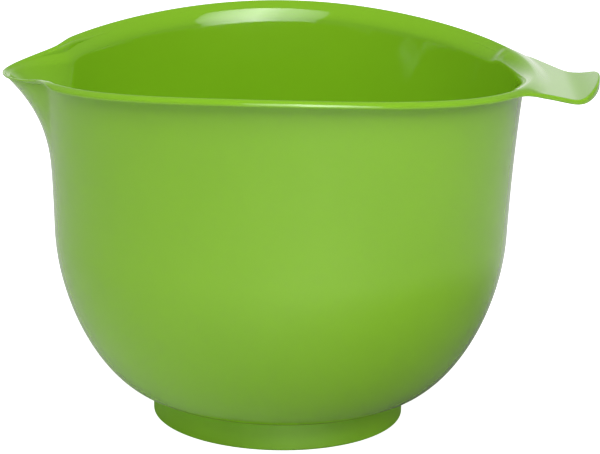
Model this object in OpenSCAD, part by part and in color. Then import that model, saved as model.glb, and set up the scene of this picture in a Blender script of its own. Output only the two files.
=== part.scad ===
// Mixing bowl with a pouring spout, a tab handle and a grip ring round its foot.
// Origin: on the bowl's axis, on the surface it stands on. +Z is up, the handle
// points to +X and the spout to -X. All lengths are in millimetres, angles in degrees.

/* [Bowl] */
// Height of the rim at the two sides of the bowl
bowl_h = 156; // [146:1:166]
// Radius of the rim's crest
crest_r = 101.8; // [101:0.1:104]
// Outside radius of the body at the belly
belly_r = 93.6; // [92:0.1:95]
// Height of the belly, where the wall starts to run nearly straight
belly_z = 80; // [76:1:84]
// Thickness of the wall
wall = 2.6; // [2.2:0.1:3.2]

/* [Rim] */
// How far the rim dips towards the spout and towards the handle
rim_dip = 8.2; // [5:0.1:10]
// How much higher the rim is at the handle than at the spout
rim_tilt = 1; // [0:0.1:2]
// Width of the lip outside the crest
lip_w = 2.1; // [1.6:0.1:3]
// Depth of the lip from the crest to its underside
lip_t = 2.3; // [2:0.1:2.8]
// How far the lip's top falls from the crest to its edge
lip_fall = 1.2; // [0.6:0.1:1.3]
// Height of the round inside the rim
rim_round = 5; // [3:0.5:6]

/* [Spout] */
// How far the spout's crest stands out past the rim's crest
spout_out = 12.7; // [9:0.1:14]
// How far the spout's crest lies below the rim
spout_drop = 2.5; // [1:0.1:4]
// Half of the angle that the spout takes up
spout_half = 19; // [16:1:22]
// Height at which the spout starts to leave the body
spout_root_z = 102; // [95:1:108]

/* [Handle] */
// Distance from the bowl's axis to the handle's end
handle_reach = 128.8; // [124:0.1:134]
// Half of the angle that the handle's root takes up
handle_half = 27.5; // [25:0.5:29]
// Height of the handle's top where it starts to curl up
handle_bend_z = 142.6; // [141:0.1:144]
// Height of the handle's top at its end, before the end is rounded
handle_end_z = 148; // [146:0.1:149]
// Thickness of the handle where it is thinnest
handle_t = 1.8; // [1.6:0.1:2.4]

/* [Foot] */
// Outside radius of the grip ring
ring_r = 52.3; // [51.5:0.1:53]
// Height of the grip ring
ring_h = 11.8; // [10:0.1:11.8]
// Thickness of the grip ring
ring_t = 2.4; // [2:0.1:3]
// Radial clearance between the grip ring and the foot
ring_gap = 0.05; // [0.02:0.01:0.1]

/* [Hidden] */

// Body outline: a Bezier curve from the foot to the belly, then a slow flare
foot_pt = [54, 12];
foot_ctrl = [73, 14];
belly_slope = 0.032;
belly_ctrl_h = 32;
belly_pt = [belly_r, belly_z];
belly_ctrl = belly_pt - belly_ctrl_h * [belly_slope, 1];
body_curve = [foot_pt, foot_ctrl, belly_ctrl, belly_pt];
flare_out = 5.7;
flare_ctrl_out = belly_slope * (bowl_h - belly_z) / 2;

// Rim and lip. The dip is flatter than a parabola at its ends. The lip is at its
// full width from lip_full on, and it has gone at the spout's corners.
dip_flat = 0.2;
lip_full = 33;
edge_round = 1.3;
edge_share = 0.35;
root_share = 0.3;
lip_root = 1;

// Spout: its outline in plan is a rounded V, which is narrower lower down
spout_power = 1.63;
spout_soft = 0.07;
spout_drop_half = 27.5;
spout_drop_power = 1.9;
spout_edge = 0.5;
spout_t = 0.7;
keel_out = 15.2;
keel_z = 141;
keel_power = 2.4;
keel_half_low = 12;
keel_half_power = 0.6;

// Handle: straight flanks and a slightly curved end, then a curl upwards
flank_bend = 0.088;
end_bend = 0.032;
tab_soft = 2.1;
tab_full = 6;
handle_x0 = 96;
curl_x = 116;
curl_slope = -0.27;
curl_bead = 4;
handle_root = 2.5;

// Floor and foot
floor_t = 3;
floor_z = foot_pt[1] - 0.8;
floor_rise = 0.2;
floor_shares = [0.45, 0.8];
foot_r = ring_r - ring_t;
foot_wall = 3.4;
foot_overlap = 0.6;
ring_floor_t = 2;
ring_edge = 0.8;
fn_round = 128;

// Steps of the bowl's mesh, from its floor to its rim and round its axis
lower_steps = 8;
upper_steps = 6;
upper_spacing = 0.8;
shelf_steps = 4;
fine_step = 3;
coarse_step = 7.5;
fine_half = 30;

function mix(a, b, t) = a + (b - a) * t;
function smooth(t) = let (s = max(0, min(1, t))) s * s * (3 - 2 * s);
function soft_min(a, b, soft) = (a + b - sqrt(pow(a - b, 2) + soft * soft)) / 2;
function soft_floor(v, soft) = (v + sqrt(v * v + soft * soft)) / 2;
function bezier(p, t) =
    pow(1 - t, 3) * p[0] + 3 * pow(1 - t, 2) * t * p[1] + 3 * (1 - t) * t * t * p[2] + pow(t, 3) * p[3];
function bezier_slope(p, t) =
    3 * pow(1 - t, 2) * (p[1] - p[0]) + 6 * (1 - t) * t * (p[2] - p[1]) + 3 * t * t * (p[3] - p[2]);

// Body below the belly
function lower_outer(t) = bezier(body_curve, t);
function lower_inner(t) = let (s = bezier_slope(body_curve, t)) lower_outer(t) + wall * [-s[1], s[0]] / norm(s);

// Outside radius of the body above the belly, without the spout
function upper_r(z) =
    let (t = (z - belly_z) / (bowl_h - belly_z))
    belly_r + 2 * (1 - t) * t * flare_ctrl_out + t * t * flare_out;

// The spout's plan shape at an angle d from its middle: 1 in the middle, 0 past half
function spout_shape(d, half) =
    soft_floor(1 - pow(d / half, spout_power), spout_soft) / soft_floor(1, spout_soft);
function spout_fall(d) = spout_drop * pow(cos(90 * pow(min(1, d / spout_drop_half), spout_drop_power)), 2);

// How far the spout's outside stands out from the body at a height, and its half angle there
function keel(z) = keel_out * pow(max(0, z - spout_root_z) / (keel_z - spout_root_z), keel_power);
function keel_half(z) =
    mix(keel_half_low, spout_half, pow(max(0, min(1, (z - spout_root_z) / (keel_z - spout_root_z))), keel_half_power));
function outer_r(z, d) = upper_r(z) + keel(z) * spout_shape(d, keel_half(z));
function inner_r(z, d) =
    let (s = outer_r(z + 0.5, d) - outer_r(z - 0.5, d))
    outer_r(z, d) - wall * sqrt(1 + s * s);

// How far the handle stands out past the lip at an angle from its middle
function tab_out(angle) =
    let (
        flank = flank_bend * pow(max(0, handle_half - angle), 2),
        end = handle_reach - crest_r - lip_w - end_bend * angle * angle
    )
    max(0, soft_min(flank, end, tab_soft * min(1, flank / tab_full)));

// Height of the crest, and of the handle above lip_fall, at a distance x along the bowl
function dip_z(x) =
    let (u = x / crest_r)
    bowl_h - rim_dip * (u * u - dip_flat * pow(u, 4)) / (1 - dip_flat) + rim_tilt / 2 * pow(u, 3);
function curl_share(x) = max(0, x - curl_x) / (handle_reach - curl_x);
function curl_z(x) =
    let (rise = handle_end_z - handle_bend_z - curl_slope * (handle_reach - curl_x))
    handle_bend_z + lip_fall + curl_slope * (x - curl_x) + rise * pow(curl_share(x), 2);
function slide_z(x) =
    let (w = curl_x - handle_x0, t = (x - handle_x0) / w,
         start_slope = (dip_z(handle_x0) - dip_z(handle_x0 - 1)) * w, end_slope = curl_slope * w)
    mix(dip_z(handle_x0), curl_z(curl_x), smooth(t))
    + start_slope * (pow(t, 3) - 2 * t * t + t) + end_slope * (pow(t, 3) - t * t);
function rim_z(x) = x < handle_x0 ? dip_z(x) : x < curl_x ? slide_z(x) : curl_z(x);

// The bowl's wall at one angle, from the middle of its floor inside to the
// middle of its underside, as [radius, height] points
function section(angle) =
    let (
        d = 180 - abs(angle),
        c = cos(angle),
        spout = spout_shape(d, spout_half),
        lip = smooth((d - spout_half - 1) / (lip_full - spout_half - 1)),
        tab = tab_out(abs(angle)),
        handle = min(1, tab / tab_full),
        drop = spout_fall(d),
        crest = crest_r + spout_out * spout,
        edge = crest + mix(spout_edge, lip_w, lip) + tab,
        crest_z = rim_z(crest * c) - drop,
        fall = lip_fall * lip,
        depth = mix(mix(spout_t, lip_t, lip), lip_fall + handle_t, handle),
        edge_mid = rim_z(edge * c) - drop,
        edge_top = edge_mid - fall,
        edge_low = edge_mid - depth - curl_bead * handle * pow(curl_share(edge * c), 2),
        round_r = min(edge_round, edge_share * (edge_top - edge_low)),
        wall_z = crest_z - rim_round,
        root_z = crest_z - depth - mix(lip_root, handle_root, handle),
        in_r = inner_r(wall_z, d),
        out_r = outer_r(root_z, d),
        under_r = mix(out_r, edge, root_share * mix(1, root_share, handle))
    )
    concat(
        [for (share = floor_shares) [share * foot_pt[0], floor_z + floor_t + floor_rise * (share - floor_shares[0])]],
        [for (i = [1:lower_steps]) lower_inner(i / lower_steps)],
        [for (i = [1:upper_steps])
            let (z = mix(belly_z, wall_z, pow(i / upper_steps, upper_spacing)))
            [inner_r(z, d), z]],
        [for (q = [30, 60]) [mix(in_r, crest, 1 - cos(q)), wall_z + rim_round * sin(q)]],
        [for (i = [0:shelf_steps - 1])
            let (r = mix(crest, edge - round_r, i / (shelf_steps - 1)))
            [r, rim_z(r * c) - drop - fall * min(1, (r - crest) / lip_w)]],
        [for (q = [45, 90]) [edge - round_r * (1 - sin(q)), edge_top - round_r * (1 - cos(q))]],
        [for (q = [90, 45]) [edge - round_r * (1 - sin(q)), edge_low + round_r * (1 - cos(q))]],
        [for (i = [shelf_steps - 1:-1:0])
            let (r = mix(under_r, edge - round_r, i / (shelf_steps - 1)))
            [r, rim_z(r * c) - drop - depth - curl_bead * handle * pow(curl_share(r * c), 2)]],
        [for (i = [upper_steps:-1:1])
            let (z = mix(belly_z, root_z, pow(i / upper_steps, upper_spacing)))
            [outer_r(z, d), z]],
        [for (i = [lower_steps:-1:0]) lower_outer(i / lower_steps)],
        [[foot_r - foot_wall / 2, foot_pt[1]], [foot_r - foot_wall - 1, floor_z], [floor_shares[0] * foot_pt[0], floor_z]]
    );

// Angles of the sections: close together at the handle and the spout
angles = concat(
    [for (a = [-fine_half:fine_step:fine_half - fine_step]) a],
    [for (a = [fine_half:coarse_step:180 - fine_half - coarse_step]) a],
    [for (a = [180 - fine_half:fine_step:180]) a],
    [for (a = [-180 + fine_step:fine_step:-180 + fine_half - fine_step]) a],
    [for (a = [-180 + fine_half:coarse_step:-fine_half - coarse_step]) a]
);

// The wall, rim, spout, handle and floor as one skin
module shell() {
    rows = len(section(90));
    cols = len(angles);
    skin = [for (a = angles) for (p = section(a)) [p[0] * cos(a), p[0] * sin(a), p[1]]];
    inside = len(skin);
    underside = inside + 1;
    points = concat(skin, [[0, 0, floor_z + floor_t], [0, 0, floor_z]]);
    sides = [for (j = [0:cols - 1]) let (k = (j + 1) % cols) for (i = [0:rows - 2]) for (tri = [
        [j * rows + i, k * rows + i + 1, j * rows + i + 1],
        [j * rows + i, k * rows + i, k * rows + i + 1]
    ]) tri];
    ends = [for (j = [0:cols - 1]) let (k = (j + 1) % cols) for (tri = [
        [inside, k * rows, j * rows],
        [underside, (j + 1) * rows - 1, (k + 1) * rows - 1]
    ]) tri];
    polyhedron(points, concat(sides, ends), convexity = 6);
}

// The round wall under the floor, which the grip ring fits
module foot() {
    rotate_extrude($fn = fn_round)
        translate([foot_r - foot_wall, ring_floor_t])
            square([foot_wall - ring_gap, foot_pt[1] + foot_overlap - ring_floor_t]);
}

module bowl() {
    color("yellowgreen") union() {
        shell();
        foot();
    }
}

// An L-shaped section: a band round the foot and a flange under it
module base_ring() {
    color("olivedrab") rotate_extrude($fn = fn_round) polygon(concat(
        [[foot_r - foot_wall, 0]],
        [for (q = [-90:30:0]) [ring_r - ring_edge + ring_edge * cos(q), ring_edge + ring_edge * sin(q)]],
        [for (q = [0:30:90]) [ring_r - ring_edge + ring_edge * cos(q), ring_h - ring_edge + ring_edge * sin(q)]],
        [[foot_r, ring_h], [foot_r, ring_floor_t], [foot_r - foot_wall, ring_floor_t]]
    ));
}

bowl();
base_ring();
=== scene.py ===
import math
from types import SimpleNamespace

import bpy
import numpy as np
from mathutils import Matrix, Vector


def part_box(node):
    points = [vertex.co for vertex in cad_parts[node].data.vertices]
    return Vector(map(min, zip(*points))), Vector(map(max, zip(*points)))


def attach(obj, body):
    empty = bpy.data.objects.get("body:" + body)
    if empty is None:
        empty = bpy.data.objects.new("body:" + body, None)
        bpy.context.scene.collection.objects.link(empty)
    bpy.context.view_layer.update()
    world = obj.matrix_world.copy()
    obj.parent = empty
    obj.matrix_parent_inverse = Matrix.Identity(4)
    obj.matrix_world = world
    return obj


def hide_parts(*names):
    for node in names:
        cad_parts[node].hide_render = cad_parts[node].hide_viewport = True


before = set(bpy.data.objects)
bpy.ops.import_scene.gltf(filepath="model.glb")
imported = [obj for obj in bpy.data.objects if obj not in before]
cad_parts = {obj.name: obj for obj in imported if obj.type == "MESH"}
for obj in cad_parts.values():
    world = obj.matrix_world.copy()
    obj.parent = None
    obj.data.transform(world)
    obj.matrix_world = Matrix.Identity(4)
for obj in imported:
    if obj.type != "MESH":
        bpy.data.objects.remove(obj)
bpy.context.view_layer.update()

# Shapes are in millimetres and degrees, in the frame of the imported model: the origin is on
# the bowl's axis where it stands, +X is the handle's side and -X is the spout's side.
MM = 0.001

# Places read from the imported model
BOWL_LOW, BOWL_HIGH = (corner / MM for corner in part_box("bowl"))
RING_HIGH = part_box("base_ring")[1] / MM

# Rim and lip. The crest is the rim's highest line, and the lip stands out past it.
LIP_W = 2.1
LIP_T = 2.3
LIP_FALL = 1.2  # from the crest down to the lip's outer edge
LIP_ROUND = 1.5
LIP_FILLET = 1.2
LIP_ROOT = 1  # from the lip's underside down to where its fillet ends on the wall
RIM_FLARE_H = 7.5  # the height in which the inside opens out below the crest
RIM_EDGE_R = 1.9
RIM_EDGE_Z = 1.4
RIM_BEND = 0.45
CREST_FLAT = 0.3
RIM_DIP = 8.2  # how much lower the rim is at its two ends than in its middle
RIM_TILT = 1.0
DIP_FLAT = 0.2
BOWL_H = BOWL_HIGH.z
CREST_R = BOWL_HIGH.y - LIP_W - 0.01

# Body. The wall flares slightly above the belly, and a Bezier curve joins belly and foot.
WALL = 2.6
BELLY_R = 93.6
BELLY_Z = 80
BELLY_SLOPE = 0.032
BELLY_CTRL_H = 32
FLARE_OUT = 5.7
FOOT_PT = np.array([54.0, 12.0])
FOOT_CTRL = np.array([73.0, 14.0])

# Spout, with its half width as an angle. Its keel is the pulled-out part of the wall below it.
SPOUT_HALF = 19
SPOUT_POWER = 1.63
SPOUT_SOFT = 0.16
SPOUT_DROP = 2.5
SPOUT_DROP_HALF = 27.5
SPOUT_DROP_POWER = 1.9
SPOUT_EDGE = 0.5
SPOUT_T = 0.7
SPOUT_OUT = -BOWL_LOW.x - CREST_R - SPOUT_EDGE
SPOUT_WALL = 1.3
SPOUT_THIN_H = 18
SPOUT_ROUND = 1.2
SPOUT_EASE = 0.5
LIP_START = SPOUT_HALF + 1  # the angles from the spout at which the lip starts and is full
LIP_FULL = 33
KEEL_ROOT_Z = 102
KEEL_OUT = 15.2
KEEL_Z = 141
KEEL_POWER = 2.4
KEEL_HALF_LOW = 12
KEEL_HALF_POWER = 0.6

# Handle, which slopes down from HANDLE_X0 and curls up from CURL_X
HANDLE_REACH = BOWL_HIGH.x
HANDLE_HALF = 27.5
HANDLE_T = 1.8
HANDLE_BLEND = 7
HANDLE_FILLET = 5
HANDLE_ROOT = 2.5
HANDLE_FLARE_H = 5
HANDLE_EDGE_R = 3.4
HANDLE_EDGE_Z = 1.4
HANDLE_X0 = 96
FLANK_BEND = 0.088
END_BEND = 0.032
TAB_SOFT = 2.1
TAB_FULL = 6  # a tab that stands out this far is all handle, and a shorter one is partly lip
CURL_X = 116
CURL_SLOPE = -0.27
CURL_BEAD = 4
BEND_Z = 142.6
END_Z = 148
ROUND_CLIMB = 0.55
ROUND_REACH = 0.45

# Foot and grip ring
RING_R = RING_HIGH.x
RING_H = RING_HIGH.z
RING_T = 2.4
RING_GAP = 0.05
RING_FLOOR_T = 2
RING_EDGE = 0.8
FOOT_WALL = 3.4
FOOT_LOW = BOWL_LOW.z
FLOOR_T = 3
FLOOR_Z = FOOT_PT[1] - 0.8
FLOOR_FLAT_R = 45
HUB_R = 1  # the innermost circle of the floor's mesh

# How many rows each stretch of the section has
FLOOR_ROWS = 30
LOWER_ROWS = 57
WALL_ROWS = 50
FLARE_ROWS = 16
EDGE_ROWS = 9
LIP_ROWS = 24
UNDER_ROWS = 20

# The camera has a long lens, is a little above the rim and is slightly rolled. Metres, degrees.
CAMERA_AIM = (0.00791, 0.00011, 0.07944)
CAMERA_DISTANCE = 1.04535
CAMERA_AZIMUTH = 0.793
CAMERA_ELEVATION = 15.572
CAMERA_ROLL = 1.178
CAMERA_LENS = 151.02

# Studio, with lengths in metres. The floor's base colour is darkest to the right of the foot, a painted
# shadow of the bowl on the floor that the bowl's gloss and bounce light see.
FLOOR_SIZE = 6
FLOOR_PAINTED_SHADOW_AT = (0.13, -0.03, 0)
FLOOR_PAINTED_SHADOW_R = (0.06, 0.25)
FLOOR_PAINTED_SHADOW_TONES = (0.3, 0.85)
WORLD_LIGHT = 0.28

# The part of the noise between these two values spans a material's whole range
NOISE_LOW = 0.3
NOISE_HIGH = 0.7


def mix(a, b, t):
    return a + (b - a) * t


def smooth(t):
    s = np.clip(t, 0, 1)
    return s * s * (3 - 2 * s)


def bezier(points, t):
    """Points along a Bezier curve of 3 or 4 control points, one row for each value of t."""
    t = np.asarray(t, float)[:, None]
    p = [np.asarray(point, float) for point in points]
    while len(p) > 1:
        p = [mix(a, b, t) for a, b in zip(p, p[1:])]
    return p[0]


def dip_z(x):
    """Height of the rim's crest at a distance x along the bowl: a saddle, low at both ends."""
    u = x / CREST_R
    return BOWL_H - RIM_DIP * (u**2 - DIP_FLAT * u**4) / (1 - DIP_FLAT) + RIM_TILT / 2 * u**3


def curl_share(x):
    """How far along the handle's curl x is, from 0 to 1."""
    return np.maximum(0, x - CURL_X) / (HANDLE_REACH - CURL_X)


def curl_z(x):
    """Height of the handle's curl plus LIP_FALL, which top_z takes off again."""
    rise = END_Z - BEND_Z - CURL_SLOPE * (HANDLE_REACH - CURL_X)
    return BEND_Z + LIP_FALL + CURL_SLOPE * (x - CURL_X) + rise * curl_share(x) ** 2


def slide_z(x):
    """The same between the rim's dip and the curl, with their slopes at its ends."""
    width = CURL_X - HANDLE_X0
    t = (x - HANDLE_X0) / width
    start_slope = (dip_z(HANDLE_X0) - dip_z(HANDLE_X0 - 1)) * width
    end_slope = CURL_SLOPE * width
    bend = start_slope * (t**3 - 2 * t**2 + t) + end_slope * (t**3 - t**2)
    return mix(dip_z(HANDLE_X0), curl_z(CURL_X), smooth(t)) + bend


def rim_z(x):
    """Height of the rim, and of the handle plus LIP_FALL, at a distance x along the bowl."""
    return np.where(x < HANDLE_X0, dip_z(x), np.where(x < CURL_X, slide_z(x), curl_z(x)))


def upper_r(z):
    """Radius of the body's outside above the belly, away from the spout."""
    t = (z - BELLY_Z) / (BOWL_H - BELLY_Z)
    flare_ctrl = BELLY_SLOPE * (BOWL_H - BELLY_Z) / 2
    return BELLY_R + 2 * (1 - t) * t * flare_ctrl + t**2 * FLARE_OUT


def soft_floor(value):
    """The value where it is well above 0, and near 0 below that, with a soft bend."""
    return (value + np.sqrt(value * value + SPOUT_SOFT**2)) / 2


def spout_shape(off_spout, half):
    """The spout's share, 1 in its middle and near 0 from the angle half outwards."""
    return soft_floor(1 - (off_spout / half) ** SPOUT_POWER) / soft_floor(1)


def spout_fall(off_spout):
    """How far the rim drops at an angle from the spout."""
    share = min(1, off_spout / SPOUT_DROP_HALF) ** SPOUT_DROP_POWER
    return SPOUT_DROP * math.cos(math.pi / 2 * share) ** 2


def outer_r(z, off_spout):
    """Radius of the body's outside above the belly, with the spout's keel."""
    share = np.maximum(0, z - KEEL_ROOT_Z) / (KEEL_Z - KEEL_ROOT_Z)
    half = mix(KEEL_HALF_LOW, SPOUT_HALF, np.minimum(1, share) ** KEEL_HALF_POWER)
    return upper_r(z) + KEEL_OUT * share**KEEL_POWER * spout_shape(off_spout, half)


def outer_slope(z, off_spout):
    return outer_r(z + 0.5, off_spout) - outer_r(z - 0.5, off_spout)


def tab_out(angle):
    """How far the handle stands out past the lip at an angle from its middle."""
    flank = FLANK_BEND * max(0, HANDLE_HALF - angle) ** 2
    end = HANDLE_REACH - CREST_R - LIP_W - END_BEND * angle**2
    soft = TAB_SOFT * min(1, flank / TAB_FULL)
    return max(0, (flank + end - math.sqrt((flank - end) ** 2 + soft**2)) / 2)


def body_curve():
    """The Bezier curve of the body's outside, from the foot up to the belly."""
    belly = np.array([BELLY_R, BELLY_Z])
    return [FOOT_PT, FOOT_CTRL, belly - BELLY_CTRL_H * np.array([BELLY_SLOPE, 1]), belly]


def lower_outer(t):
    return bezier(body_curve(), t)


def lower_inner(t):
    """The inside of the same curve, one wall thickness in."""
    p = body_curve()
    slope = bezier([b - a for a, b in zip(p, p[1:])], t)
    normal = np.stack([-slope[:, 1], slope[:, 0]], 1) / np.linalg.norm(slope, axis=1)[:, None]
    return lower_outer(t) + WALL * normal


def corner(before, at, after, leg_in, leg_out, steps):
    """A smooth turn at a corner, from leg_in before it to leg_out after it."""
    before, at, after = (np.asarray(p, float) for p in (before, at, after))
    back = (before - at) / np.linalg.norm(before - at)
    ahead = (after - at) / np.linalg.norm(after - at)
    return bezier([at + leg_in * back, at, at + leg_out * ahead], np.linspace(0, 1, steps))


def floor_inside():
    """The inside of the floor, flat in the middle and meeting the round part smoothly."""
    edge = lower_inner([0.0])[0]
    radii = np.linspace(HUB_R, edge[0], FLOOR_ROWS)[:-1]
    rise = smooth((radii - FLOOR_FLAT_R) / (edge[0] - FLOOR_FLAT_R) / 2) * 2
    base = FLOOR_Z + FLOOR_T
    return np.stack([radii, base + (edge[1] - base) * rise], 1)


def foot_section():
    """Under the body: in to the foot's wall, down it, round its end and up to the floor."""
    foot_r = RING_R - RING_T - RING_GAP
    inside_r = foot_r + RING_GAP - FOOT_WALL
    # each point, and how far before and after it its rounding reaches
    corners = [
        (FOOT_PT, 0, 0),
        ((foot_r, FOOT_PT[1]), 0.4, 0.15),
        ((foot_r, FOOT_LOW), 0.5, 0.5),
        ((inside_r, FOOT_LOW), 0.8, 0.8),
        ((inside_r, FLOOR_Z), 1.5, 1.5),
        ((HUB_R, FLOOR_Z), 0, 0),
    ]
    rows = []
    for (a, _, _), (b, leg_in, leg_out), (c, _, _) in zip(corners, corners[1:], corners[2:]):
        rows.append(corner(a, b, c, leg_in, leg_out, 6))
    rows.append(np.stack([np.linspace(inside_r - 4, HUB_R, 16), np.full(16, FLOOR_Z)], 1))
    return np.concatenate(rows)


def rim_place(angle):
    """What the rim is like at one angle: how far it is spout, lip and handle, from 0 to 1, and
    the radius of its crest and of its outer edge."""
    tab = tab_out(abs(angle))
    at = SimpleNamespace(off_spout=180 - abs(angle), cosine=math.cos(math.radians(angle)))
    at.spout = float(spout_shape(at.off_spout, SPOUT_HALF))
    at.lip = float(smooth((at.off_spout - LIP_START) / (LIP_FULL - LIP_START)))
    at.handle = min(1, tab / TAB_FULL)
    at.drop = spout_fall(at.off_spout)
    at.crest = CREST_R + SPOUT_OUT * at.spout
    at.edge = at.crest + mix(SPOUT_EDGE, LIP_W, at.lip) + tab
    return at


def top_z(at, r):
    """Height of the rim's top at a radius from the crest outwards."""
    spread = mix(LIP_W, HANDLE_BLEND, at.handle)
    full = 2 - at.handle
    fall = LIP_FALL * at.lip * smooth((r - at.crest) / spread / full) * full
    return rim_z(r * at.cosine) - at.drop - fall


def low_z(at, r):
    """Height of the underside of the lip or the handle at a radius."""
    depth = mix(mix(SPOUT_T, LIP_T, at.lip), LIP_FALL + HANDLE_T, at.handle)
    x = r * at.cosine
    return rim_z(x) - at.drop - depth - CURL_BEAD * at.handle * curl_share(x) ** 2


def inner_wall(at, wall_z):
    """The wall's inside from the belly up to wall_z, thinner towards the spout's edge."""
    z = np.linspace(BELLY_Z, wall_z, WALL_ROWS)
    thin = at.spout * smooth(1 - (wall_z - z) / SPOUT_THIN_H)
    thickness = mix(WALL, SPOUT_WALL, thin)
    r = outer_r(z, at.off_spout) - thickness * np.sqrt(1 + outer_slope(z, at.off_spout) ** 2)
    return np.stack([r, z], 1)


def flared_rim(at, start, lean, crest):
    """The rim's inside up to the crest: it opens out in a slight flare and ends in a small round."""
    ease = mix(1, SPOUT_EASE, at.spout)
    edge_r = mix(RIM_EDGE_R * ease, HANDLE_EDGE_R, at.handle)
    edge_z = mix(RIM_EDGE_Z * ease, HANDLE_EDGE_Z, at.handle)
    end = crest - (edge_r, edge_z)
    turn = start + RIM_BEND * (end[1] - start[1]) * lean
    over_r = end[0] + edge_z * (end[0] - turn[0]) / (end[1] - turn[1])
    over = (min(over_r, crest[0] - CREST_FLAT), crest[1])
    flare = bezier([start, turn, end], np.linspace(0, 1, FLARE_ROWS)[1:])
    return np.concatenate([flare, bezier([end, over, crest], np.linspace(0, 1, EDGE_ROWS)[1:])])


def round_rim(start, lean, crest):
    """The rim's inside up to the crest in one round, with as many rows as the flared rim."""
    climb = ROUND_CLIMB * (crest[1] - start[1])
    shoulder = (crest[0] - ROUND_REACH * (crest[0] - start[0]), crest[1])
    steps = np.linspace(0, 1, FLARE_ROWS + EDGE_ROWS - 1)[1:]
    return bezier([start, start + climb * lean, shoulder, crest], steps)


def lip_edge(at):
    """The top of the lip or the handle from the crest outwards, and its rounded edge."""
    upper = (at.edge, float(top_z(at, at.edge)))
    lower = (at.edge, float(low_z(at, at.edge)))
    thick = upper[1] - lower[1]
    round_top = min(LIP_ROUND, 0.45 * thick, 0.6 * (at.edge - at.crest))
    round_low = min(LIP_ROUND, 0.3 * thick)
    r = np.linspace(at.crest, at.edge - round_top, LIP_ROWS)[1:]
    top = np.stack([r, top_z(at, r)], 1)
    turn_top = corner(top[-1], upper, lower, round_top, round_top, 8)
    turn_low = corner(upper, lower, (at.crest, lower[1]), round_low, round_low, 6)
    return np.concatenate([top[:-1], turn_top, turn_low[1:]])


def under_lip(at, edge_r, root):
    """The underside from the radius edge_r inwards, and a fillet down to the wall at root."""
    fillet = min(mix(LIP_FILLET, HANDLE_FILLET, at.handle), 0.6 * (edge_r - root[0]))
    r = np.linspace(edge_r, root[0] + fillet, UNDER_ROWS)[1:]
    under = np.stack([r, low_z(at, r)], 1)
    turn = (root[0] + 0.1 * fillet, float(low_z(at, root[0])))
    return np.concatenate([under[:-1], bezier([under[-1], turn, root], np.linspace(0, 1, EDGE_ROWS)[1:])])


def section(angle):
    """The wall at one angle, from the middle of the floor inside to the middle underneath,
    as [radius, height] rows. Every angle gives the same number of rows."""
    at = rim_place(angle)
    crest = np.array([at.crest, float(top_z(at, at.crest))])
    flare_h = mix(mix(RIM_FLARE_H, HANDLE_FLARE_H, at.handle), SPOUT_ROUND, at.spout)
    inside = inner_wall(at, crest[1] - flare_h)
    start = inside[-1]
    step = start - inside[-2]
    lean = step / step[1]
    rim = mix(flared_rim(at, start, lean, crest), round_rim(start, lean, crest), smooth(2 * at.handle))
    edge = lip_edge(at)

    root_z = float(low_z(at, at.crest)) - mix(LIP_ROOT, HANDLE_ROOT, at.handle)
    root = np.array([float(outer_r(root_z, at.off_spout)), root_z])
    z_out = np.linspace(root_z, BELLY_Z, WALL_ROWS)[1:]
    outside = np.stack([outer_r(z_out, at.off_spout), z_out], 1)
    steps = np.linspace(0, 1, LOWER_ROWS)
    return np.concatenate([
        floor_inside(), lower_inner(steps[:-1]), inside, rim, edge, under_lip(at, edge[-1][0], root),
        outside, lower_outer(steps[::-1][1:-1]), foot_section(),
    ])


def bowl_angles():
    """One angle for each column of the bowl's mesh, closer together at the spout and handle."""
    fine = np.arange(-36, 36, 0.5)
    coarse = np.arange(36, 144, 1.0)
    return np.concatenate([fine, coarse, fine + 180, coarse + 180])


def revolve(name, angles, sections, ends):
    """A closed skin through one [radius, height] section for each angle, with a point on the
    axis at both ends, or joined end to end where ends is None."""
    cols, rows = len(angles), len(sections[0])
    points = []
    for angle, rz in zip(np.radians(angles), sections):
        points.append(np.stack([rz[:, 0] * np.cos(angle), rz[:, 0] * np.sin(angle), rz[:, 1]], 1))
    points = np.concatenate(points)
    spans = rows - 1 if ends else rows
    faces = []
    for j in range(cols):
        k = (j + 1) % cols
        for i in range(spans):
            n = (i + 1) % rows
            faces.append((j * rows + i, k * rows + i, k * rows + n, j * rows + n))
    if ends:
        first, last = len(points), len(points) + 1
        points = np.concatenate([points, [(0, 0, ends[0]), (0, 0, ends[1])]])
        for j in range(cols):
            k = (j + 1) % cols
            faces.append((first, k * rows, j * rows))
            faces.append((last, j * rows + rows - 1, k * rows + rows - 1))
    mesh = bpy.data.meshes.new(name)
    mesh.from_pydata((points * MM).tolist(), [], faces)
    mesh.polygons.foreach_set("use_smooth", [True] * len(mesh.polygons))
    mesh.update()
    piece = bpy.data.objects.new(name, mesh)
    bpy.context.scene.collection.objects.link(piece)
    return piece


def make_bowl():
    angles = bowl_angles()
    wrapped = (angles + 180) % 360 - 180
    sections = [section(angle) for angle in wrapped]
    return revolve("bowl_shell", angles, sections, (FLOOR_Z + FLOOR_T, FLOOR_Z))


def make_ring():
    """The grip ring: a band round the foot with a flange under it, all its edges eased."""
    inside_r = RING_R - RING_T
    flange_r = inside_r - FOOT_WALL
    outline = [
        (flange_r, 0), (RING_R, 0), (RING_R, RING_H), (inside_r, RING_H),
        (inside_r, RING_FLOOR_T), (flange_r, RING_FLOOR_T),
    ]
    legs = [0.3, RING_EDGE, RING_EDGE, 0.2, 0.15, 0.3]
    rows = []
    for i, (point, leg) in enumerate(zip(outline, legs)):
        before, after = outline[i - 1], outline[(i + 1) % len(outline)]
        rows.append(corner(before, point, after, leg, leg, 8))
        length = math.dist(point, after)
        if length > 5:
            start = np.asarray(point, float)
            steps = np.linspace(0, 1, 8)[1:-1, None]
            gap = mix(leg, length - legs[(i + 1) % len(legs)], steps)
            rows.append(start + (np.asarray(after) - start) / length * gap)
    angles = np.arange(0, 360, 1.5)
    return revolve("grip_band", angles, [np.concatenate(rows)] * len(angles), None)


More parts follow.
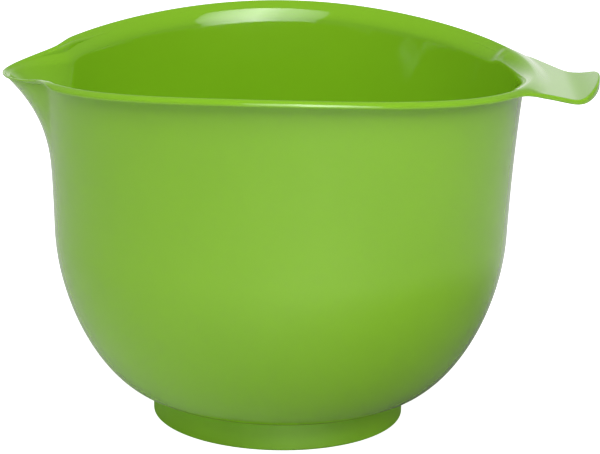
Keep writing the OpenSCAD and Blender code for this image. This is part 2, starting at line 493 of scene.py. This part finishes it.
def new_material(name):
    material = bpy.data.materials.new(name)
    material.use_nodes = True
    nodes, links = material.node_tree.nodes, material.node_tree.links
    return material, nodes, links, nodes["Principled BSDF"]


def add_noise(nodes, links, scale, detail, roughness=0.5):
    coords = nodes.new("ShaderNodeTexCoord")
    noise = nodes.new("ShaderNodeTexNoise")
    noise.inputs["Scale"].default_value = scale
    noise.inputs["Detail"].default_value = detail
    noise.inputs["Roughness"].default_value = roughness
    links.new(coords.outputs["Object"], noise.inputs["Vector"])
    return noise.outputs["Fac"]


def add_range(nodes, links, source, low, high):
    span = nodes.new("ShaderNodeMapRange")
    span.inputs["From Min"].default_value = NOISE_LOW
    span.inputs["From Max"].default_value = NOISE_HIGH
    span.inputs["To Min"].default_value = low
    span.inputs["To Max"].default_value = high
    links.new(source, span.inputs["Value"])
    return span.outputs["Result"]


def add_colours(nodes, links, source, low, high):
    ramp = nodes.new("ShaderNodeValToRGB")
    ramp.color_ramp.elements[0].position = NOISE_LOW
    ramp.color_ramp.elements[1].position = NOISE_HIGH
    ramp.color_ramp.elements[0].color = (*low, 1)
    ramp.color_ramp.elements[1].color = (*high, 1)
    links.new(source, ramp.inputs["Fac"])
    return ramp.outputs["Color"]


def add_bump(nodes, links, height, strength, distance):
    bump = nodes.new("ShaderNodeBump")
    bump.inputs["Strength"].default_value = strength
    bump.inputs["Distance"].default_value = distance
    links.new(height, bump.inputs["Height"])
    return bump.outputs["Normal"]


def gloss_plastic():
    """Moulded lime-green plastic: nearly even colour, a faint orange peel and fine scuffs."""
    material, nodes, links, shader = new_material("lime_gloss_plastic")
    cloud = add_noise(nodes, links, scale=18, detail=3)
    green = add_colours(nodes, links, cloud, low=(0.215, 0.475, 0.012), high=(0.228, 0.495, 0.014))
    links.new(green, shader.inputs["Base Color"])
    scuff = add_noise(nodes, links, scale=260, detail=5, roughness=0.6)
    links.new(add_range(nodes, links, scuff, low=0.04, high=0.07), shader.inputs["Roughness"])
    peel = add_noise(nodes, links, scale=420, detail=2)
    bump = add_bump(nodes, links, peel, strength=0.12, distance=0.00005)
    links.new(bump, shader.inputs["Normal"])
    shader.inputs["IOR"].default_value = 1.5
    return material


def satin_rubber():
    """Moulded rubber in the bowl's green, painted brighter than the bowl's to make up for the dimmer
    light round the foot: satin, with a fine even grain.
    """
    material, nodes, links, shader = new_material("green_satin_rubber")
    cloud = add_noise(nodes, links, scale=40, detail=3)
    # painted light: these greens are lighter than the bowl's to make up for the dim light round the foot
    green = add_colours(nodes, links, cloud, low=(0.25, 0.56, 0.012), high=(0.27, 0.59, 0.015))
    links.new(green, shader.inputs["Base Color"])
    grain = add_noise(nodes, links, scale=1500, detail=4, roughness=0.6)
    links.new(add_range(nodes, links, grain, low=0.42, high=0.52), shader.inputs["Roughness"])
    bump = add_bump(nodes, links, grain, strength=0.3, distance=0.00006)
    links.new(bump, shader.inputs["Normal"])
    shader.inputs["IOR"].default_value = 1.4
    return material


def white_floor():
    """A pale floor with a painted shadow: its base colour is darker in a patch right of the foot. To the
    camera itself it is pure white.
    """
    material, nodes, links, shader = new_material("white_floor")
    coords = nodes.new("ShaderNodeTexCoord")
    distance = nodes.new("ShaderNodeVectorMath")
    distance.operation = "DISTANCE"
    distance.inputs[1].default_value = FLOOR_PAINTED_SHADOW_AT
    links.new(coords.outputs["Object"], distance.inputs[0])
    # painted shadow: the base colour darkens near a point right of the foot, where the bowl's shadow
    # falls on the floor
    shade = nodes.new("ShaderNodeMapRange")
    shade.interpolation_type = "SMOOTHSTEP"
    shade.inputs["From Min"].default_value = FLOOR_PAINTED_SHADOW_R[0]
    shade.inputs["From Max"].default_value = FLOOR_PAINTED_SHADOW_R[1]
    shade.inputs["To Min"].default_value = FLOOR_PAINTED_SHADOW_TONES[0]
    shade.inputs["To Max"].default_value = FLOOR_PAINTED_SHADOW_TONES[1]
    links.new(distance.outputs["Value"], shade.inputs["Value"])
    links.new(shade.outputs["Result"], shader.inputs["Base Color"])
    shader.inputs["Roughness"].default_value = 0.8
    shader.inputs["Emission Color"].default_value = (1, 1, 1, 1)
    path = nodes.new("ShaderNodeLightPath")
    links.new(path.outputs["Is Camera Ray"], shader.inputs["Emission Strength"])
    return material


def make_camera():
    azimuth, elevation = math.radians(CAMERA_AZIMUTH), math.radians(CAMERA_ELEVATION)
    roll = math.radians(CAMERA_ROLL)
    level = Vector((-math.sin(azimuth), math.cos(azimuth), 0))
    ahead = level * math.cos(elevation) - Vector((0, 0, math.sin(elevation)))
    right = Vector((math.cos(azimuth), math.sin(azimuth), 0))
    up = right.cross(ahead)
    turned_right = right * math.cos(roll) + up * math.sin(roll)
    turned_up = up * math.cos(roll) - right * math.sin(roll)
    data = bpy.data.cameras.new("camera")
    data.lens = CAMERA_LENS
    data.sensor_width = 36
    camera = bpy.data.objects.new("camera", data)
    axes = Matrix((turned_right, turned_up, -ahead)).transposed()
    place = Vector(CAMERA_AIM) - ahead * CAMERA_DISTANCE
    camera.matrix_world = Matrix.Translation(place) @ axes.to_4x4()
    bpy.context.scene.collection.objects.link(camera)
    bpy.context.scene.camera = camera


def make_floor():
    mesh = bpy.data.meshes.new("floor")
    corners = [(x * FLOOR_SIZE, y * FLOOR_SIZE, 0) for x, y in ((-1, -1), (1, -1), (1, 1), (-1, 1))]
    mesh.from_pydata(corners, [], [(0, 1, 2, 3)])
    mesh.materials.append(white_floor())
    floor = bpy.data.objects.new("floor", mesh)
    bpy.context.scene.collection.objects.link(floor)


def add_softbox(name, azimuth, elevation, distance, size, radiance, aim_z=0.1):
    """A soft rectangular light that faces the bowl's axis at the height aim_z.
    Azimuth 0 is the camera's side and 90 is the handle's."""
    turn, lift = math.radians(azimuth), math.radians(elevation)
    way = Vector((math.sin(turn) * math.cos(lift), -math.cos(turn) * math.cos(lift), math.sin(lift)))
    data = bpy.data.lights.new(name, "AREA")
    data.shape = "RECTANGLE"
    data.size, data.size_y = size
    data.energy = radiance * math.pi * size[0] * size[1]
    light = bpy.data.objects.new(name, data)
    light.location = Vector((0, 0, aim_z)) + distance * way
    light.rotation_mode = "QUATERNION"
    light.rotation_quaternion = (-way).to_track_quat("-Z", "Y")
    light.visible_camera = False
    light.visible_glossy = False
    bpy.context.scene.collection.objects.link(light)
    return light


def add_reflected_panel(name, azimuth, elevation, distance, size, radiance, aim_z=0.1):
    """A panel that the gloss mirrors, and that adds no light of its own."""
    panel = add_softbox(name, azimuth, elevation, distance, size, radiance, aim_z)
    panel.visible_diffuse = False
    panel.visible_glossy = True
    return panel


def grade(light, along, levels):
    """Grades a light along its width, X, or its height, Y, by (place, level) pairs."""
    light.data.use_nodes = True
    nodes, links = light.data.node_tree.nodes, light.data.node_tree.links
    place = nodes.new("ShaderNodeNewGeometry")
    split = nodes.new("ShaderNodeSeparateXYZ")
    links.new(place.outputs["Parametric"], split.inputs["Vector"])
    ramp = nodes.new("ShaderNodeValToRGB")
    first, *middle, last = levels
    for element, (position, level) in zip(ramp.color_ramp.elements, (first, last)):
        element.position = position
        element.color = (level, level, level, 1)
    for position, level in middle:
        ramp.color_ramp.elements.new(position).color = (level, level, level, 1)
    links.new(split.outputs[along], ramp.inputs["Fac"])
    links.new(ramp.outputs["Color"], nodes["Emission"].inputs["Color"])


def make_world():
    """Even light from all round, which the camera itself sees as white."""
    world = bpy.data.worlds.new("studio")
    world.use_nodes = True
    nodes, links = world.node_tree.nodes, world.node_tree.links
    path = nodes.new("ShaderNodeLightPath")
    strength = nodes.new("ShaderNodeMapRange")
    strength.inputs["To Min"].default_value = WORLD_LIGHT
    strength.inputs["To Max"].default_value = 1
    links.new(path.outputs["Is Camera Ray"], strength.inputs["Value"])
    links.new(strength.outputs["Result"], nodes["Background"].inputs["Strength"])
    nodes["Background"].inputs["Color"].default_value = (1, 1, 1, 1)
    bpy.context.scene.world = world


def make_lights():
    add_softbox("key_softbox", azimuth=15, elevation=46, distance=1.2, size=(1.0, 0.7), radiance=3.8)
    add_softbox("top_softbox", azimuth=10, elevation=72, distance=1.1, size=(0.9, 0.6), radiance=1.0)
    add_softbox("left_softbox", azimuth=-75, elevation=35, distance=1.2, size=(0.7, 0.6), radiance=2.2)
    add_softbox("right_softbox", azimuth=62, elevation=33, distance=1.2, size=(0.5, 0.5), radiance=2.4)

    # the tall panel high in front shows on the far side's flare, the low one behind on the handle
    front = add_reflected_panel("front_panel", azimuth=15, elevation=15, distance=1.1,
                                size=(1.58, 3.0), radiance=10.5, aim_z=1.1)
    grade(front, "X", ((0, 0.18), (0.34, 0.54), (0.53, 1), (0.84, 0.48), (1, 0.2)))
    back = add_reflected_panel("back_panel", azimuth=180, elevation=12, distance=1.5,
                               size=(3.0, 0.9), radiance=0.85)
    grade(back, "Y", ((0, 1), (0.4, 0.95), (0.75, 0.4), (1, 0)))


bpy.context.scene.view_settings.view_transform = "Standard"
make_camera()
make_floor()
make_world()
make_lights()

bowl = make_bowl()
bowl.data.materials.append(gloss_plastic())
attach(bowl, "bowl")
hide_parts("bowl")

ring = make_ring()
ring.data.materials.append(satin_rubber())
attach(ring, "grip_ring")
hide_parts("base_ring")
